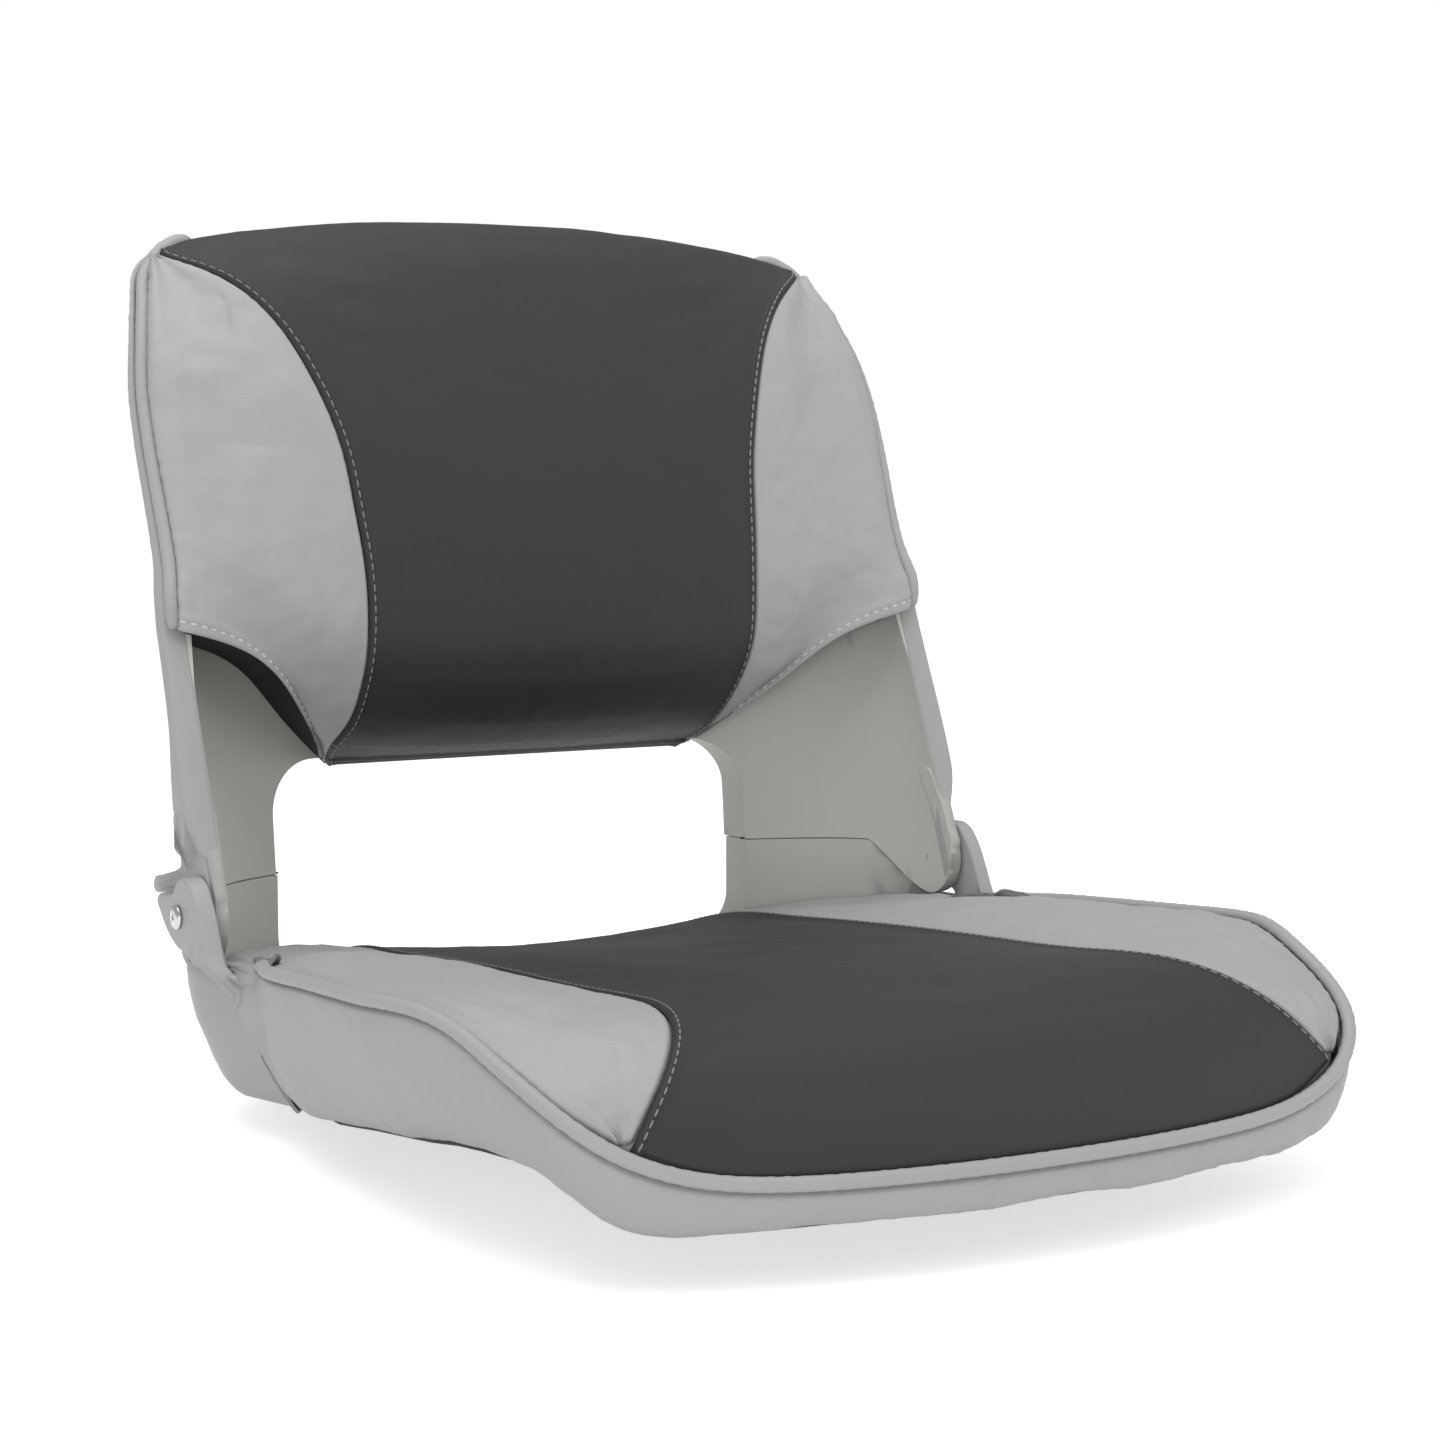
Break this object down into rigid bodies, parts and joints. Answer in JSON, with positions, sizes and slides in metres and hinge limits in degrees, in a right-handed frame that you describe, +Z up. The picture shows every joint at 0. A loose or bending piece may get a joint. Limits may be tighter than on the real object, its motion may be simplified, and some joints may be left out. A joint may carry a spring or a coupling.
{
  "type": "folding boat seat",
  "caption": "Low-back moulded boat seat with sewn vinyl cushions; the backrest folds forward on two side hinges over a ribbed mounting base.",
  "frame": {"origin": "middle of the flat mounting grid under the bucket", "axes": "+Z up, the sitter faces -Y, +X towards the sitter's left; the backrest is in its upright position"},
  "size_m": [0.4516, 0.54, 0.4375],
  "materials": {
    "shell_plastic": "moulded, fine matte grain",
    "vinyl_charcoal": "marine vinyl, soft low sheen",
    "vinyl_grey": "marine vinyl, soft low sheen",
    "foam": "open-cell foam, hidden",
    "retainer_black": "extruded, matte",
    "screw_steel": "stainless, lightly polished",
    "bush_nylon": "turned nylon",
    "insert_brass": "turned brass"
  },
  "bodies": {
    "seat": {"seat_shell": "shell_plastic", "seat_centre_panel": "vinyl_charcoal", "seat_side_panel_left": "vinyl_grey", "seat_side_panel_right": "vinyl_grey", "seat_foam": "foam", "seat_boxing_band": "vinyl_grey", "seat_piping": "vinyl_grey", "seat_retainer_strip": "retainer_black", "hinge_screw_left": "screw_steel", "hinge_screw_right": "screw_steel", "hinge_bush_left": "bush_nylon", "hinge_bush_right": "bush_nylon", "mounting_insert_front_left": "insert_brass", "mounting_insert_front_right": "insert_brass", "mounting_insert_rear_left": "insert_brass", "mounting_insert_rear_right": "insert_brass"},
    "backrest": {"back_shell": "shell_plastic", "back_centre_panel": "vinyl_charcoal", "back_side_panel_left": "vinyl_grey", "back_side_panel_right": "vinyl_grey", "back_side_band_left": "vinyl_grey", "back_side_band_right": "vinyl_grey", "back_piping_left": "vinyl_grey", "back_piping_right": "vinyl_grey", "back_rear_panel": "vinyl_grey", "back_foam": "foam", "hinge_insert_left": "insert_brass", "hinge_insert_right": "insert_brass"}
  },
  "joints": [
    {"name": "backrest_fold", "type": "hinge", "parent": "seat", "child": "backrest", "pos_m": [0, 0.102, 0.1], "axis": [1, 0, 0], "range_deg": [0, 99]}
  ]
}
